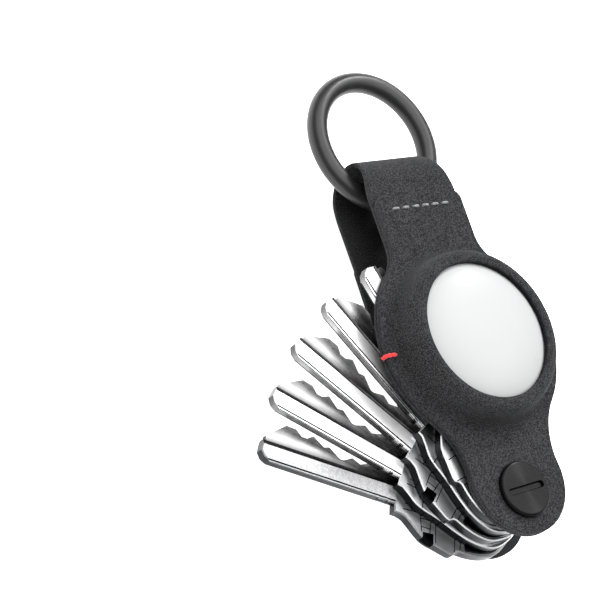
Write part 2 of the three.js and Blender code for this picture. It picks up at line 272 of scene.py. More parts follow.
def bumped(tree, shader, height, strength, distance_mm, under=None):
    """Adds a bump from a height field, over an earlier bump if there is one."""
    made = add_node(tree, "Bump")
    made.inputs["Strength"].default_value = strength
    made.inputs["Distance"].default_value = distance_mm * MM
    tree.links.new(height, made.inputs["Height"])
    if under:
        tree.links.new(under.outputs["Normal"], made.inputs["Normal"])
    tree.links.new(made.outputs["Normal"], shader.inputs["Normal"])
    return made


def suede_material(name, dark, light):
    """Matt napped suede: fine light fibres on a charcoal ground, with faint brushed clouds."""
    material, tree, shader = new_material(name, {
        "Roughness": 1.0,
        "Specular IOR Level": 0.15,
        "Sheen Weight": 0.05,
        "Sheen Roughness": 0.6,
        "Sheen Tint": (0.75, 0.77, 0.8, 1),
    })
    fibres = noise_field(tree, 4.4, detail=3.0, roughness=0.6)
    speckle = ramp(tree, fibres, [(0.41, dark), (0.61, light)])
    clouds = ramp(tree, noise_field(tree, 0.12, detail=2.0), [(0.3, 0.86), (0.7, 1.0)])
    tree.links.new(mixed(tree, 1.0, speckle, clouds, "MULTIPLY"), shader.inputs["Base Color"])
    coarse = bumped(tree, shader, fibres, 0.55, 0.12)
    bumped(tree, shader, noise_field(tree, 7.0, detail=2.0), 0.5, 0.05, coarse)
    return material


def metal_material(name, colour, roughness, grain, stretch=(1, 1, 1), settings=None, worn=0.0):
    """Metal whose roughness varies with a grain, with a faint bump along it."""
    material, tree, shader = new_material(name, {"Metallic": 1.0, **(settings or {})})
    field = noise_field(tree, grain, detail=3.0, stretch=stretch)
    tree.links.new(ramp(tree, field, [(0.3, roughness[0]), (0.7, roughness[1])]), shader.inputs["Roughness"])
    tint = ramp(tree, noise_field(tree, grain * 0.3), [
        (0.35, tuple(c * (1 - worn) for c in colour)), (0.65, colour)])
    tree.links.new(tint, shader.inputs["Base Color"])
    bumped(tree, shader, field, 0.12, 0.01)
    return material


def plastic_material(name, colour, roughness, settings=None):
    """Moulded plastic with a faint grain in its gloss."""
    material, tree, shader = new_material(name, settings or {})
    field = noise_field(tree, 0.5, detail=2.0)
    tree.links.new(ramp(tree, field, [(0.3, roughness * 0.85), (0.7, roughness * 1.15)]),
                   shader.inputs["Roughness"])
    dim = tuple(c * 0.985 for c in colour)
    tint = ramp(tree, noise_field(tree, 0.2), [(0.3, dim), (0.7, colour)])
    tree.links.new(tint, shader.inputs["Base Color"])
    bumped(tree, shader, field, 0.02, 0.004)
    return material


def thread_material(name, dark, light):
    """Twisted thread: fine fibres along a light and dark lay."""
    material, tree, shader = new_material(name, {
        "Roughness": 0.75,
        "Sheen Weight": 0.3,
        "Sheen Roughness": 0.5,
        "Specular IOR Level": 0.35,
    })
    fibres = noise_field(tree, 9.0, detail=2.0, stretch=(1, 0.35, 1))
    tree.links.new(ramp(tree, fibres, [(0.3, dark), (0.7, light)]), shader.inputs["Base Color"])
    bumped(tree, shader, fibres, 0.5, 0.04)
    return material


def key_metal(name, colour, roughness, clouding=0.06, clouds_per_mm=0.35, metallic=1.0):
    """Nickel with fine lengthwise scratches and soft tarnish clouds."""
    material, tree, shader = new_material(name, {"Metallic": metallic})
    clouds = noise_field(tree, clouds_per_mm, detail=1.0)
    tree.links.new(ramp(tree, clouds, [(0.35, tuple(c * (1 - clouding) for c in colour)), (0.65, colour)]),
                   shader.inputs["Base Color"])
    grain = noise_field(tree, 6.0, detail=2.0, stretch=(1, 0.15, 1))
    tree.links.new(ramp(tree, grain, [(0.3, roughness[0]), (0.7, roughness[1])]), shader.inputs["Roughness"])
    bumped(tree, shader, grain, 0.03, 0.004)
    return material


def along_axis(tree, axis, low_mm, high_mm):
    """0 at low_mm and 1 at high_mm along one of the piece's own axes."""
    place = add_node(tree, "TexCoord")
    split = add_node(tree, "SeparateXYZ")
    span = add_node(tree, "MapRange")
    tree.links.new(place.outputs["Object"], split.inputs["Vector"])
    tree.links.new(split.outputs[axis], span.inputs["Value"])
    span.inputs["From Min"].default_value = low_mm * MM
    span.inputs["From Max"].default_value = high_mm * MM
    return span.outputs["Result"]


def shaded_nickel(name, axis, low_mm, high_mm, stops, roughness):
    """Nickel whose tone, painted light and shade, follows one axis of the key, broken up by clouds."""
    material, tree, shader = new_material(name, {"Metallic": 1.0})
    tone = ramp(tree, along_axis(tree, axis, low_mm, high_mm), stops)
    clouds = ramp(tree, noise_field(tree, 0.25, detail=1.0), [(0.35, 0.7), (0.6, 1.0)])
    tree.links.new(mixed(tree, 1.0, tone, clouds, "MULTIPLY"), shader.inputs["Base Color"])
    grain = noise_field(tree, 6.0, detail=2.0, stretch=(1, 0.15, 1))
    tree.links.new(ramp(tree, grain, [(0.3, roughness[0]), (0.7, roughness[1])]), shader.inputs["Roughness"])
    bumped(tree, shader, grain, 0.03, 0.004)
    return material


SUEDE = suede_material("charcoal_suede", (0.005, 0.005, 0.0055), (0.048, 0.048, 0.050))
# Near black for the window's cut rim: partly the raw edge's own darker colour, partly painted shade inside
# the rim.
CUT_EDGE_AND_SHADE_SUEDE = suede_material("cut_edge_and_painted_shade_suede", (0.002, 0.002, 0.002), (0.010, 0.010, 0.010))
GREY_THREAD = thread_material("grey_thread", (0.13, 0.13, 0.135), (0.27, 0.27, 0.275))
RED_THREAD = thread_material("red_thread", (0.62, 0.015, 0.018), (0.92, 0.035, 0.04))
RING_BLACK = metal_material("satin_black_ring", (0.020, 0.020, 0.0205), (0.34, 0.40), 2.0,
                            settings={"Metallic": 0.35}, worn=0.1)
GUNMETAL = metal_material("brushed_gunmetal", (0.016, 0.016, 0.0165), (0.30, 0.36), 5.0,
                          settings={"Anisotropic": 0.8, "Anisotropic Rotation": 0.25}, worn=0.12)
STRIP_NICKEL = key_metal("polished_nickel", (0.95, 0.95, 0.955), (0.38, 0.44), 0.03, metallic=0.75)
GRAINED_NICKEL = key_metal("grained_nickel", (0.38, 0.38, 0.385), (0.38, 0.50), 0.3, 3.0, metallic=0.75)
BOW_NICKEL = key_metal("satin_nickel", (0.42, 0.425, 0.43), (0.30, 0.36), 0.30, 0.22)
# The cut half's tone across the blade is painted light and shade: dark by the step, a light band, then
# lighter towards the bitting.
MILLED_NICKEL = shaded_nickel("milled_nickel_painted_shade", "X", -0.6, 3.6, [
    (0.0, 0.07), (0.12, 0.16), (0.38, 0.36), (0.62, 0.22), (1.0, 0.34)], (0.26, 0.34))
# The walls' tone along the blade is painted reflection and shade: dark by the bow and at the tip, light
# between.
WALL_NICKEL = shaded_nickel("wall_nickel_painted_shade", "Y", 18.0, 51.0, [
    (0.0, 0.10), (0.22, 0.16), (0.42, 0.34), (0.84, 0.48), (0.93, 0.20), (1.0, 0.05)], (0.22, 0.30))
# Near-black metal that paints shade into grooves, holes, notches, basins, the screw's slot and shaded key
# faces.
PAINTED_SHADE = metal_material("key_painted_shade", (0.028, 0.029, 0.031), (0.18, 0.26), 2.0, worn=0.3)
WHITE_SHELL = plastic_material("white_shell", (0.395, 0.397, 0.399), 0.42, {
    "Specular IOR Level": 0.25, "Coat Weight": 0.04, "Coat Roughness": 0.15})
NYLON = plastic_material("black_nylon", (0.02, 0.02, 0.022), 0.5)
BOARD = plastic_material("green_board", (0.02, 0.10, 0.06), 0.45)
STEEL = metal_material("polished_steel", (0.70, 0.71, 0.72), (0.16, 0.26), 3.0, stretch=(1, 0.2, 1))
COPPER = metal_material("bare_copper", (0.72, 0.40, 0.20), (0.28, 0.4), 4.0, worn=0.15)

# The brushing of the screw runs round its axis.
around = add_node(GUNMETAL.node_tree, "Tangent", direction_type="RADIAL", axis="Z")
GUNMETAL.node_tree.links.new(around.outputs["Tangent"],
                             GUNMETAL.node_tree.nodes["Principled BSDF"].inputs["Tangent"])

KEPT_NODES = {
    "tracker_back_cover": STEEL,
    "tracker_coin_cell": STEEL,
    "tracker_magnet": STEEL,
    "tracker_board": BOARD,
    "tracker_coil": COPPER,
    **{f"tracker_contact_{i}": COPPER for i in (1, 2, 3)},
    **{f"spacer_{i}": NYLON for i in range(1, 7)},
}
for name, material in KEPT_NODES.items():
    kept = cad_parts[name]
    kept.data.materials.clear()
    kept.data.materials.append(material)


# ---- Suede outline ----
def touching_arcs():
    """Centres of the two hollows beside the broad part, and the heights where the arcs meet."""
    apart = TRACKER.y - PIVOT_END_Y
    to_end = PIVOT_END_R + WAIST_R
    to_broad = BROAD_R + WAIST_R
    up = (apart ** 2 + to_end ** 2 - to_broad ** 2) / (2 * apart)
    waist = Vector((math.sqrt(to_end ** 2 - up ** 2), PIVOT_END_Y + up))
    shoulder_x = NECK_HALF + SHOULDER_R
    shoulder = Vector((shoulder_x, TRACKER.y + math.sqrt((BROAD_R + SHOULDER_R) ** 2 - shoulder_x ** 2)))
    meets = [
        PIVOT_END_Y + (waist.y - PIVOT_END_Y) * PIVOT_END_R / to_end,
        waist.y + (TRACKER.y - waist.y) * WAIST_R / to_broad,
        TRACKER.y + (shoulder.y - TRACKER.y) * BROAD_R / (BROAD_R + SHOULDER_R),
    ]
    return waist, shoulder, meets


WAIST, SHOULDER, MEETS = touching_arcs()


def side_of_circle(radius, away):
    return math.sqrt(max(0.0, radius ** 2 - away ** 2))


def front_half(y):
    """Half width of the front leaf at a height y."""
    if y < MEETS[0]:
        return side_of_circle(PIVOT_END_R, y - PIVOT_END_Y)
    if y < MEETS[1]:
        return WAIST.x - side_of_circle(WAIST_R, y - WAIST.y)
    if y < MEETS[2]:
        return side_of_circle(BROAD_R, y - TRACKER.y)
    if y < SHOULDER.y:
        return SHOULDER.x - side_of_circle(SHOULDER_R, y - SHOULDER.y)
    return NECK_HALF


def loop_half(length, leaf_half):
    """Half width at a length along the strap from the top of its loop."""
    t = min(1.0, length / LOOP_TAPER)
    return LOOP_HALF + (leaf_half - LOOP_HALF) * t * t * (3 - 2 * t)


def back_half(y):
    """Half width of the back leaf: a round end and a nearly straight strip."""
    end_y = PIVOT_END_Y + PIVOT_END_R * math.sin(math.radians(10))
    if y < end_y:
        return side_of_circle(PIVOT_END_R, y - PIVOT_END_Y)
    t = min(1.0, (y - end_y) / (LOOP_Y - 3.3 - end_y))
    return PIVOT_END_R * math.cos(math.radians(10)) * (1 - t) + BACK_HALF * t


# ---- Strap: one leaf of suede swept from the front pivot end, over the loop, to the back pivot end ----
EDGE_ROUND = 0.22
QUARTER_LOOP = LOOP_MIDDLE * math.pi / 2


def leaf_heights():
    """Heights y from the round end up to the loop, close together where the end is round."""
    heights = [PIVOT_END_Y - PIVOT_END_R * math.cos(math.radians(a)) for a in range(4, 88, 3)]
    steps = 110
    start = heights[-1]
    return heights + [start + (LOOP_Y - start) * i / steps for i in range(1, steps + 1)]


def leaf_section(half):
    """Points (across, above the middle of the leaf) round the section of a leaf with rounded edges."""
    top = LEAF / 2
    across = 26
    flat = half - EDGE_ROUND
    upper = [(flat * (2 * i / across - 1), top) for i in range(across + 1)]
    rim = [(flat + EDGE_ROUND * math.sin(a), top - EDGE_ROUND * (1 - math.cos(a)))
           for a in (math.radians(d) for d in (30, 60, 90))]
    right = rim + [(x, -z) for x, z in reversed(rim)]
    lower = [(x, -z) for x, z in reversed(upper)]
    left = [(-x, -z) for x, z in rim] + [(-x, z) for x, z in reversed(rim)]
    return upper + right + lower + left


def leaf_half(y, outline_half, top_half):
    """Half width of a leaf at a height y: its outline, narrowed where it runs into the loop."""
    if y > SHOULDER.y:
        return min(outline_half(y), loop_half(LOOP_Y - y + QUARTER_LOOP, top_half))
    return outline_half(y)


def strap_rings():
    """Sections of the strap, from the front pivot end over the loop to the back pivot end."""
    rings = []
    front_z = LOOP_Z + LOOP_MIDDLE
    back_z = LOOP_Z - LOOP_MIDDLE
    heights = leaf_heights()
    for y in heights:
        rings.append([(x, y, front_z + up) for x, up in leaf_section(leaf_half(y, front_half, NECK_HALF))])
    steps = 40
    for i in range(1, steps):
        turn = math.pi * (0.5 - i / steps)
        leaf = NECK_HALF if turn > 0 else BACK_HALF
        half = loop_half(LOOP_MIDDLE * abs(turn), leaf)
        rings.append([
            (x, LOOP_Y + (LOOP_MIDDLE + up) * math.cos(turn), LOOP_Z + (LOOP_MIDDLE + up) * math.sin(turn))
            for x, up in leaf_section(half)
        ])
    for y in reversed(heights):
        rings.append([(x, y, back_z - up) for x, up in leaf_section(leaf_half(y, back_half, BACK_HALF))])
    return rings


def stitch_ends():
    """Left and right end of each stitch that shows."""
    first = -(SEAM_STITCHES - 1) / 2 * SEAM_PITCH
    return [(first + i * SEAM_PITCH - SEAM_STITCH_L / 2, first + i * SEAM_PITCH + SEAM_STITCH_L / 2)
            for i in range(SEAM_STITCHES)]


def pressed(x, y):
    """How far the threads press the suede down at a point."""
    depth = 0.0
    for ends in stitch_ends():
        nearest = min(max(x, ends[0]), ends[1])
        depth = max(depth, 0.10 * math.exp(-(((x - nearest) ** 2 + (y - SEAM_Y) ** 2) / 0.25)))
        for end in ends:
            depth = max(depth, 0.24 * math.exp(-(((x - end) ** 2 + (y - SEAM_Y) ** 2) / 0.12)))
    if x < -BROAD_R + 2.6:
        depth = max(depth, 0.14 * math.exp(-((y - EDGE_THREAD_Y) / 0.55) ** 2))
    return depth


def softened(x, y, z):
    """The slight waviness of a cut and handled piece of suede."""
    return z + 0.035 * noise.noise(Vector((x, y, z)) / 5.0) + 0.015 * noise.noise(Vector((x, y, z)) / 1.7)


strap_points, strap_faces = loft(strap_rings())
strap = make_object("strap_suede", strap_points, strap_faces)
combine(strap, turned("hole", [(SHANK_HOLE_R, strap_low.z - 1), (SHANK_HOLE_R, strap_high.z + 1)], 48))


# ---- Cover: rays from the tracker's centre, each with the moulded pocket's section ----
WINDOW_R = 13.8
POCKET = [(19.4, 0.9), (18.7, 0.99), (17.95, 1.4), (17.35, 2.2), (17.05, 3.3), (16.92, 4.6), (16.7, 5.75),
          (16.2, 6.7), (15.4, 7.2), (14.6, 7.32), (14.05, 7.2), (WINDOW_R, 6.95)]
POCKET_INSIDE = [(WINDOW_R, 6.12), (14.9, 5.45), (15.75, 4.5), (16.1, 3.8), (16.1, 0.0)]
FLANGE_STEPS = 46


def cover_outline():
    """The cover's outline, anticlockwise from the middle of the pivot end."""
    half = [Vector((0, PIVOT_END_Y - PIVOT_END_R))]
    half += [Vector((side_of_circle(PIVOT_END_R, -PIVOT_END_R * math.cos(math.radians(a))),
                     PIVOT_END_Y - PIVOT_END_R * math.cos(math.radians(a)))) for a in range(2, 84, 2)]
    start = half[-1].y
    end = COVER_END_Y - COVER_CORNER_R
    steps = 150
    half += [Vector((front_half(y), y)) for y in (start + (end - start) * i / steps for i in range(1, steps))]
    half += arc((NECK_HALF - COVER_CORNER_R, end), COVER_CORNER_R, 0, 90, 10)
    top = NECK_HALF - COVER_CORNER_R
    half += [Vector((top * (1 - i / 26), COVER_END_Y)) for i in range(1, 26)]
    half.append(Vector((0, COVER_END_Y)))
    return half + [Vector((-p.x, p.y)) for p in half[-2:0:-1]]


def cover_ray(edge):
    """One closed section of the cover, through the outline point edge."""
    reach = (edge - TRACKER).length
    way = (edge - TRACKER) / reach
    flange = POCKET[0][0]
    section = [(reach - (reach - flange) * i / FLANGE_STEPS, LEAF) for i in range(1, FLANGE_STEPS)]
    section = [(reach - EDGE_ROUND, LEAF), *[s for s in section if s[0] < reach - EDGE_ROUND * 1.2]]
    while len(section) < FLANGE_STEPS:
        section.append(((section[-1][0] + flange) / 2, LEAF))
    section += [tuple(p) for p in smooth_curve(POCKET, 4)]
    section += POCKET_INSIDE
    section += [(reach - 0.15, 0), (reach, 0.15), (reach, LEAF - EDGE_ROUND), (reach - 0.07, LEAF - 0.07)]
    ring = []
    for radius, height in section:
        x, y = TRACKER + way * radius
        z = COVER_Z + height
        if height > 0.5:
            z = softened(x, y, z) - (pressed(x, y) if radius > flange else 0)
        ring.append((x, y, z))
    return ring


cover = make_object("front_cover_suede", *loft([cover_ray(p) for p in cover_outline()], closed_path=True))
combine(cover, turned("hole", [(SHANK_HOLE_R, COVER_Z - 1), (SHANK_HOLE_R, COVER_TOP + 2)], 48))
cover.data.materials.clear()
cover.data.materials.append(SUEDE)
cover.data.materials.append(CUT_EDGE_AND_SHADE_SUEDE)
# Faces on the window's rim get the near-black cut-edge suede, which also paints the shade inside the rim.
for face in cover.data.polygons:
    on_rim = abs(face.normal.z) < 0.6 and (face.center.xy - TRACKER).length < WINDOW_R + 0.1
    face.material_index = 1 if on_rim else 0


# ---- Threads ----
def strand(name, path, radius, closed=False, lay=1.1):
    """Two-ply thread along a path: a round tube with a twisted two-lobed section."""
    around_steps = 16
    rings = []
    run = 0.0
    side = Vector((0, 1, 0))
    for i, here in enumerate(path):
        before = path[i - 1] if i or closed else here
        after = path[(i + 1) % len(path)] if i + 1 < len(path) or closed else here
        along = (after - before).normalized()
        other = along.cross(side).normalized()
        run += (here - before).length
        ring = []
        for j in range(around_steps):
            turn = 2 * math.pi * j / around_steps
            thick = radius * (0.93 + 0.10 * math.cos(2 * (turn - 2 * math.pi * run / lay / 2)))
            ring.append(here + (side * math.cos(turn) + other * math.sin(turn)) * thick)
        rings.append(ring)
    return make_object(name, *loft(rings, closed_path=closed))


def rounded_path(corners, radius, spacing, closed=False):
    """Points along straight runs joined by arcs, evenly spaced enough for a tube."""
    path = []
    count = len(corners)
    for i, corner in enumerate(corners):
        if not closed and i in (0, count - 1):
            path.append(corner)
            continue
        back = (corners[i - 1] - corner).normalized()
        on = (corners[(i + 1) % count] - corner).normalized()
        for step in range(7):
            t = step / 6
            path.append(corner + back * radius * (1 - t) ** 2 + on * radius * t ** 2)
    if closed:
        path.append(path[0])
    filled = []
    for a, b in zip(path, path[1:]):
        parts = max(1, round((b - a).length / spacing))
        filled += [a.lerp(b, k / parts) for k in range(parts)]
    return filled if closed else [*filled, path[-1]]


def seam_path():
    top = COVER_TOP + SEAM_R * 0.55
    under = COVER_Z - LEAF - SEAM_R * 0.8
    corners = []
    for left, right in stitch_ends():
        corners += [Vector((left, SEAM_Y, under)), Vector((left, SEAM_Y, top)),
                    Vector((right, SEAM_Y, top)), Vector((right, SEAM_Y, under))]
    return rounded_path(corners, 0.3, 0.12)


def edge_thread_path():
    inside = -(BROAD_R - 2.1)
    outside = -(BROAD_R + EDGE_THREAD_R * 0.9)
    high = COVER_TOP + EDGE_THREAD_R * 0.6
    low = COVER_Z - LEAF + EDGE_THREAD_R + 0.1
    corners = [(inside, high), (outside, high), (outside, low), (inside, low)]
    return rounded_path([Vector((x, EDGE_THREAD_Y, z)) for x, z in corners], 0.75, 0.12, closed=True)


seam = strand("seam_stitches", seam_path(), SEAM_R)
edge_thread = strand("red_edge_turn", edge_thread_path(), EDGE_THREAD_R, closed=True)


# ---- Chicago screw ----
HEAD_R = screw_high.x
HEAD_TOP = screw_high.z
HEAD_LOW = HEAD_TOP - 1.2
RIM = 0.35                                   # the bevel round the head
SHANK_R = 1.5
SLOT_L = 8.8
SLOT_W = 1.1
SLOT_D = 0.6
SLOT_RIM = 0.14                              # the worn edge of the slot
SLOT_ANGLE = 5.0

screw_profile = [(0.3, screw_low.z), (SHANK_R - 0.3, screw_low.z), (SHANK_R, screw_low.z + 0.3),
                 (SHANK_R, HEAD_LOW), (HEAD_R - 0.12, HEAD_LOW), (HEAD_R, HEAD_LOW + 0.12),
                 (HEAD_R, HEAD_TOP - RIM), (HEAD_R - 0.06, HEAD_TOP - RIM + 0.1),
                 (HEAD_R - RIM + 0.04, HEAD_TOP - 0.03), (HEAD_R - RIM - 0.04, HEAD_TOP)]
turned_mark = 0.28                           # pitch of the faint rings that the lathe leaves
rings_out = int((HEAD_R - RIM - 0.5) / turned_mark)
for i in range(rings_out):
    screw_profile.append((HEAD_R - RIM - 0.12 - (i + 0.5) * turned_mark, HEAD_TOP - (0.012 if i % 2 else 0)))
screw_profile.append((0.12, HEAD_TOP))
screw = turned("screw_head_and_shank", screw_profile, 160)
screw.data.materials.append(GUNMETAL)
slot_end = (SLOT_L - SLOT_W) / 2
slot_outline = arc((slot_end, 0), SLOT_W / 2, -90, 90, 16) + arc((-slot_end, 0), SLOT_W / 2, 90, 270, 16)
slot_levels = [(0.1, HEAD_TOP - SLOT_D), (0, HEAD_TOP - SLOT_RIM),
               (-SLOT_RIM, HEAD_TOP), (-SLOT_RIM, HEAD_TOP + 1)]
slot_tool = make_object("slot", *loft([
    [(p.x, p.y, z) for p in inset(slot_outline, amount)] for amount, z in slot_levels]))
slot_tool.data.transform(Matrix.Rotation(math.radians(SLOT_ANGLE), 4, "Z"))
# The slot's walls take the painted-shade metal.
slot_tool.data.materials.append(PAINTED_SHADE)
combine(screw, slot_tool)
for face in screw.data.polygons:
    if face.normal.z > 0.95:
        face.material_index = 0              # the slot's floor is brushed like the head

POST_R = 2.25
BORE_R = 1.6
POST_HEAD_T = 0.9
post = turned("post_head_and_tube", [
    (0.2, 0.14), (1.0, 0.12), (1.25, 0.0), (HEAD_R - 0.4, 0.0), (HEAD_R - 0.12, 0.08), (HEAD_R, 0.3),
    (HEAD_R, POST_HEAD_T - 0.1), (HEAD_R - 0.1, POST_HEAD_T), (POST_R, POST_HEAD_T),
    (POST_R, post_high.z - 0.15), (POST_R - 0.15, post_high.z), (BORE_R + 0.1, post_high.z),
    (BORE_R, post_high.z - 0.1), (BORE_R, 3.0), (0.2, 3.0),
], 128)


# ---- Carry ring ----
RING_TUBE_R = (ring_high.z - ring_low.z) / 2
RING_R = (ring_high.x - ring_low.x) / 2 - RING_TUBE_R
RING_CENTRE = (ring_low + ring_high) / 2


def torus(name, centre, radius, tube, around_steps, tube_steps):
    rings = []
    for i in range(around_steps):
        turn = 2 * math.pi * i / around_steps
        out = Vector((math.cos(turn), math.sin(turn), 0))
        rings.append([
            centre + out * (radius + tube * math.cos(a)) + Vector((0, 0, tube * math.sin(a)))
            for a in (2 * math.pi * j / tube_steps for j in range(tube_steps))
        ])
    return make_object(name, *loft(rings, closed_path=True))


carry_ring = torus("ring_of_wire", RING_CENTRE, RING_R, RING_TUBE_R, 144, 36)


# ---- Tracker shell: (radius, height) pairs over the tracker's base ----
TRACKER_T = 8.0
SHELL = [(0.15, 8.0), (3.0, 7.97), (6.0, 7.83), (8.5, 7.60), (10.5, 7.26), (12.2, 6.78), (13.6, 6.09),
         (14.8, 5.1), (15.55, 4.15), (15.85, 3.2), (15.65, 2.15), (14.85, 1.3), (13.2, 0.7)]
SHELL_INSIDE = [(13.2, 1.7), (14.5, 2.8), (13.9, 4.2), (11.0, 5.7), (0.15, 6.8)]
shell_base = shell_high.z - TRACKER_T
shell = turned("tracker_dome", [(r, shell_base + z) for r, z in [*smooth_curve(SHELL, 4), *SHELL_INSIDE]],
               144, TRACKER)


# ---- Keys: each pattern in its own frame, +Y along the blade, z from 0 to KEY_T ----
KEY_T = 2.1
KEY_BORE_R = 2.45
SHOULDER_Y = 21.3
TIP_Y = 50.9
SPINE_HALF = 4.7
WIDE_BOW = ([(0, -5.9), (3.3, -5.35), (6.6, -3.6), (8.9, -1.6), (10.1, 1.0), (10.6, 4.0), (10.6, 6.7)],
            [(10.85, 7.25), (11.65, 7.85), (11.7, 8.6), (10.95, 12.1), (10.75, 13.3)],
            [(10.3, 14.6), (9.2, 16.1), (8.0, 17.5), (7.0, 18.8), (6.6, 20.2)])
SLIM_BOW = ([(0, -5.9), (3.3, -5.35), (6.4, -3.8), (8.5, -1.9), (9.6, 0.8), (10.0, 4.0), (9.8, 6.8)],
            [(9.6, 8.2), (9.2, 10.5), (9.0, 12.6), (8.95, 13.5)],
            [(8.9, 14.4), (8.5, 16.6), (7.4, 18.6), (6.6, 20.2)])
BITTING = [(4.1, 20.8), (4.1, 24.2), (3.3, 25.5), (1.9, 27.1), (1.0, 29.0), (1.85, 30.7), (0.75, 32.7),
           (0.7, 33.5), (2.5, 35.9), (2.1, 37.1), (3.8, 39.4), (2.8, 40.8), (2.8, 42.0), (4.0, 43.2),
           (4.1, 45.4), (0.6, 49.9)]
BEVEL = 0.22
CUT_STEP = 0.45                              # the cut half lies this far below the key's faces
CUT_TAPER = 0.09                             # and this much lower for each millimetre towards its edge
BEAD_X = -3.95                               # two short round beads run along the spine
BEADS = [(23.3, 25.0, 0.98), (SHOULDER_Y - 0.5, 22.9, 1.03)]    # from, to, radius
GROOVE_W = 0.2
GROOVE_D = 0.18
NOTCH_FLOOR = 0.7
BASIN_D = 0.35
BASIN_DRAFT = 0.3


def mirrored(points):
    return [Vector((-p[0], p[1])) for p in points]


def bow_outline(bow):
    bulb, block, skirt = bow
    half = [*smooth_curve(bulb, 4), *[Vector(p) for p in block], *smooth_curve(skirt, 3),
            Vector((6.6, SHOULDER_Y))]
    return half + mirrored(half[:0:-1])


def groove_tool(name, path, width, depth):
    """A V-shaped cutter along a path on the key's face, mitred at its corners."""
    points = [Vector(p) for p in path]
    rings = []
    for i, here in enumerate(points):
        before = (here - points[i - 1]).normalized() if i else None
        after = (points[i + 1] - here).normalized() if i + 1 < len(points) else None
        along = ((before or after) + (after or before)).normalized()
        across = Vector((-along.y, along.x)) * width / 2
        if before and after:
            across /= max(0.5, along.dot(before))
        left, right = here + across * 2, here - across * 2
        rings.append([(left.x, left.y, KEY_T + depth), (right.x, right.y, KEY_T + depth),
                      (here.x, here.y, KEY_T - depth)])
    return make_object(name, *loft(rings))


def on_both_faces(tool):
    """The tool and its copy on the key's other face."""
    flipped = tool.data.copy()
    flipped.transform(Matrix.Translation((0, 0, KEY_T)) @ Matrix.Scale(-1, 4, (0, 0, 1)))
    flipped.flip_normals()
    other = bpy.data.objects.new(tool.name, flipped)
    bpy.context.scene.collection.objects.link(other)
    return tool, other


GROOVES = [
    [(5.5, 19.6), (5.2, 15.9), (5.6, 12.6), (7.9, 6.6)],
    [(4.2, 19.2), (3.9, 15.2), (4.4, 12.4), (6.7, 5.9)],
    [(4.1, 17.4), (5.4, 17.7)],
    [(3.9, 15.3), (6.1, 15.5), (8.9, 15.2)],
    [(4.3, 13.3), (6.2, 13.1), (8.8, 13.3)],
    [(6.2, 15.4), (6.2, 13.2)],
    [(7.9, 15.3), (7.9, 13.3)],
    [(4.6, 12.2), (10.4, 11.9)],
    [(6.4, 7.6), (11.2, 7.7)],
    [(6.0, 6.3), (10.2, 6.4)],
]
NOTCH = [(8.9, 14.9), (8.7, 12.5), (13.0, 12.3), (13.0, 14.9)]
BASIN = [(1.4, -5.2), (3.6, -4.85), (6.5, -3.2), (8.6, -1.3), (9.75, 1.2),
         (10.2, 4.0), (9.9, 5.6), (5.6, 5.3), (3.6, 3.2), (3.3, -1.5)]


# Section of the thick half of the blade, upper side, from the cut side to the spine, about the middle height:
# the step up to the strip, then the chamfer, ledge and groove along the spine.
RIB_SECTION = [(-0.45, 0.58), (-1.50, 1.05), (-4.20, 1.05), (-4.40, 0.86), (-4.66, 0.80), (-4.66, 0.52),
               (-SPINE_HALF, 0.48), (-SPINE_HALF, 0.0)]


def rib_tip():
    """The plan of the thick half, whose walls and chamfered end trim its section."""
    side = -SPINE_HALF - 0.02
    return [Vector(p) for p in [
        (0, SHOULDER_Y - 2), (0, TIP_Y - 0.4), (-1.0, TIP_Y - 0.3), (-2.8, TIP_Y), (-4.0, TIP_Y - 0.7),
        (side, TIP_Y - 2), (side, SHOULDER_Y - 2)]]


def paint_key(key, strip, wall):
    """Gives each face its material by its place: painted shade on cut faces, bow walls, spine edges and
    steps, and the bright strip metal on the bow's bevels as a painted highlight.
    """
    recess = [key.data.materials[face.material_index] == PAINTED_SHADE for face in key.data.polygons]
    key.data.materials.clear()
    for material in (strip, BOW_NICKEL, MILLED_NICKEL, wall, PAINTED_SHADE):
        key.data.materials.append(material)
    on_strip, on_bow, on_cuts, on_wall, in_painted_shade = range(5)
    for face in key.data.polygons:
        x, y, z = face.center
        level = abs(face.normal.z)
        beside_middle = abs(z - KEY_T / 2)
        if recess[face.index]:
            finish = in_painted_shade
        elif y < SHOULDER_Y:
            # Bow: walls painted dark as shade, bevels painted bright as a highlight.
            finish = in_painted_shade if level < 0.3 else on_strip if level < 0.95 else on_bow
        elif level < 0.5:
            # Blade walls: the spine's upper and lower edges are painted dark as shade.
            finish = in_painted_shade if x < -4.6 and beside_middle > 0.5 else on_wall
        # Painted shade on the chamfer by the spine and on the step down to the cut half.
        elif -4.42 < x < -4.18 or -1.48 < x < -0.47:
            finish = in_painted_shade
        else:
            finish = on_cuts if x > -1 else on_strip
        face.material_index = finish


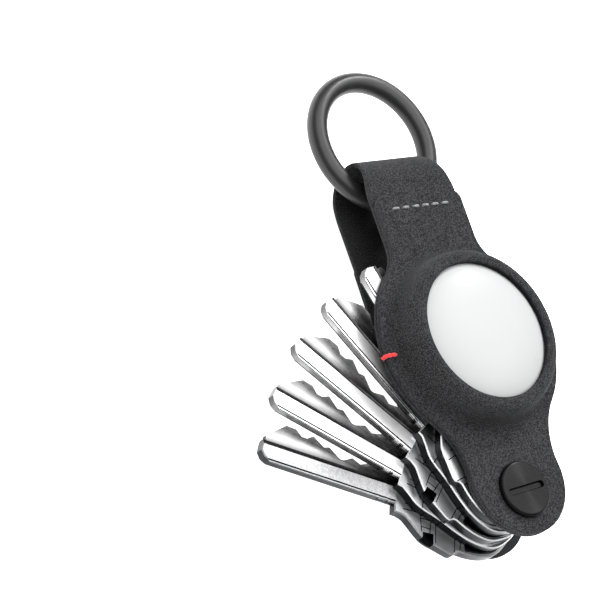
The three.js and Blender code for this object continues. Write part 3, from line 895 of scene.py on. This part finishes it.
def key_mesh(bow, notched):
    """The whole key: bow with its relief, blade with a thick polished half and a thinner cut half."""
    key = prism("key", bow_outline(bow), 0, KEY_T, bevel=BEVEL)
    middle = KEY_T / 2
    section = RIB_SECTION + [(x, -z) for x, z in RIB_SECTION[-2::-1]]
    ends = (SHOULDER_Y - 3, TIP_Y + 1)
    rib = make_object("rib", *loft([[(x, y, middle + z) for x, z in section] for y in ends]))
    combine(rib, prism("tip", rib_tip(), -0.01, KEY_T + 0.01, bevel=0.2), "INTERSECT")
    outline = [Vector((-2, SHOULDER_Y - 2)), *[Vector(p) for p in BITTING], Vector((-2, TIP_Y - 1))]
    bit = make_object("bit", *loft([
        [(p.x, p.y, CUT_STEP + CUT_TAPER * max(0, p.x)) for p in outline],
        [(p.x, p.y, KEY_T - CUT_STEP - CUT_TAPER * max(0, p.x)) for p in outline],
    ]))
    additions = [rib, bit]
    for low, high, radius in BEADS:
        profile = [(radius - 0.25, low), (radius, low + 0.2), (radius, high - 0.2), (radius - 0.25, high)]
        bead = turned("bead", profile, 24)
        laid_down = Matrix.Rotation(math.radians(-90), 4, "X")
        bead.data.transform(Matrix.Translation((BEAD_X, 0, middle)) @ laid_down)
        additions.append(bead)
    for part in [key, *additions]:
        part.data.materials.clear()
        part.data.materials.append(BOW_NICKEL)
    for part in additions:
        combine(key, part, "UNION")
    cutters = [turned("bore", [(KEY_BORE_R, -1), (KEY_BORE_R, KEY_T + 1)], 64)]
    for side in (1, -1):
        for path in GROOVES if bow is WIDE_BOW else GROOVES[:4]:
            path = [(x * side, y) for x, y in path]
            cutters += on_both_faces(groove_tool("groove", path, GROOVE_W, GROOVE_D))
        if notched:
            cutters.append(prism("notch", [Vector((x * side, y)) for x, y in NOTCH], NOTCH_FLOOR, KEY_T + 1))
            basin = [Vector((x, y)) for x, y in smooth_curve([*BASIN, BASIN[0]], 3)[:-1]]
            basin = basin if side > 0 else mirrored(basin[::-1])
            cutters += on_both_faces(prism("basin", basin, KEY_T - BASIN_D, KEY_T + 1, draft=BASIN_DRAFT))
        lean = 0 if side > 0 else 20
        outline = arc((7.4 * side, 2.4), 1.6, lean, lean + 160, 12)
        outline += arc((6.2 * side, -0.9), 0.9, lean + 180, lean + 340, 8)
        cutters.append(prism("hole", outline, -1, KEY_T + 1))
    # Faces left by these cutters take the painted-shade metal.
    for cutter in cutters:
        cutter.data.materials.append(PAINTED_SHADE)
        combine(key, cutter)
    return key


# Pattern, and angle from +Y towards -X. The lowest key is key_5.
KEYS = {"key_1": ("plain", 15.3), "key_2": ("slim", 28.1), "key_3": ("wide", 40.4), "key_4": ("slim", 52.9),
        "key_5": ("wide", 64.7)}
patterns = {
    "wide": key_mesh(WIDE_BOW, True),
    "plain": key_mesh(WIDE_BOW, False),
    "slim": key_mesh(SLIM_BOW, False),
}
for name, (pattern, angle) in KEYS.items():
    key = bpy.data.objects.new(f"{name}_plate", patterns[pattern].data.copy())
    bpy.context.scene.collection.objects.link(key)
    lowest = name == "key_5"
    # The lowest key's walls take the painted-shade metal; the others take the wall nickel with its painted
    # shade.
    paint_key(key, GRAINED_NICKEL if lowest else STRIP_NICKEL, PAINTED_SHADE if lowest else WALL_NICKEL)
    key.location = (0, 0, node_box(name)[0].z)
    key.rotation_euler = (0, 0, math.radians(angle))
    dress(key, STRIP_NICKEL, f"{name}_body", "key_metal", name)
for pattern in patterns.values():
    bpy.data.objects.remove(pattern)

dress(strap, SUEDE, "holder", "suede", "strap", sharp=60)
dress(cover, SUEDE, "holder", "suede", "front_cover", sharp=60)
dress(seam, GREY_THREAD, "holder", "grey_thread", "seam_thread", sharp=80)
dress(edge_thread, RED_THREAD, "holder", "red_thread", "red_edge_thread", sharp=80)
dress(post, GUNMETAL, "holder", "screw_metal", "pivot_post")
dress(screw, GUNMETAL, "screw", "screw_metal", "pivot_screw")
dress(carry_ring, RING_BLACK, "ring", "ring_metal", "carry_ring")
dress(shell, WHITE_SHELL, "holder", "white_plastic", "tracker_shell")

# ---- Area of the cover's flat outline ----
cover_area = sum(p.cross(q) for p, q in zip(cover_outline(), cover_outline()[1:] + cover_outline()[:1])) / 2


# ---- Floor, light and camera ----
floor = make_object("floor", [(-4, -4, 0), (4, -4, 0), (4, 4, 0), (-4, 4, 0)], [(0, 1, 2, 3)])
floor.location.z = (post_low.z - 0.05) * MM
FLOOR, floor_tree, floor_shader = new_material("pale_floor", {
    "Roughness": 0.9, "Specular IOR Level": 0.1, "Emission Color": (1, 1, 1, 1), "Emission Strength": 1.0})
floor_tree.links.new(ramp(floor_tree, noise_field(floor_tree, 0.02), [(0.3, 0.92), (0.7, 0.94)]),
                     floor_shader.inputs["Base Color"])
floor.data.materials.append(FLOOR)

world = bpy.data.worlds.new("studio")
bpy.context.scene.world = world
world.use_nodes = True
sky = world.node_tree
direction = add_node(sky, "TexCoord")
height = add_node(sky, "SeparateXYZ")
sky.links.new(direction.outputs["Generated"], height.inputs["Vector"])
sky.links.new(ramp(sky, height.outputs["Z"], [(0.0, 0.10), (0.3, 0.16), (0.6, 0.40), (1.0, 0.60)]),
              sky.nodes["Background"].inputs["Color"])
sky.nodes["Background"].inputs["Strength"].default_value = 0.9

AIM = Vector((-24.03, 47.88, 0.67)) * MM
DISTANCE = 780.6 * MM
AZIMUTH = math.radians(-68.54)
ELEVATION = math.radians(48.10)
ROLL = math.radians(54.41)
LENS = 247.1


def toward(azimuth, elevation):
    """Unit vector from the object to a viewer or light; azimuth 0 stands on the -Y side."""
    level = math.cos(elevation)
    return Vector((math.sin(azimuth) * level, -math.cos(azimuth) * level, math.sin(elevation)))


def softbox(name, azimuth, elevation, distance, size, power):
    """A square area light that faces the object."""
    light = bpy.data.lights.new(name, "AREA")
    light.shape = "SQUARE"
    light.size = size
    light.energy = power
    lamp = bpy.data.objects.new(name, light)
    bpy.context.scene.collection.objects.link(lamp)
    way = toward(math.radians(azimuth), math.radians(elevation))
    lamp.location = AIM + way * distance
    lamp.rotation_euler = way.to_track_quat("Z", "Y").to_euler()


# Azimuth and elevation in degrees, distance and size in metres, power in watts.
# The strip stands where the flat metal faces mirror it, and the low one draws out the screw's brushing.
softbox("overhead_softbox", 160, 80, 1.2, 2.0, 38)
softbox("strip_softbox", 111.5, 48, 0.9, 0.42, 0.9)
softbox("low_softbox", 131, 34, 1.0, 0.16, 4.5)

camera = bpy.data.objects.new("camera", bpy.data.cameras.new("camera"))
bpy.context.scene.collection.objects.link(camera)
camera.data.lens = LENS
camera.data.clip_start = 0.01
back = toward(AZIMUTH, ELEVATION)
level_right = Vector((math.cos(AZIMUTH), math.sin(AZIMUTH), 0))
right = level_right * math.cos(ROLL) + back.cross(level_right) * math.sin(ROLL)
camera.matrix_world = Matrix.Translation(AIM + back * DISTANCE) @ Matrix(
    (right, back.cross(right), back)).transposed().to_4x4()
bpy.context.scene.camera = camera
bpy.context.scene.view_settings.view_transform = "Standard"
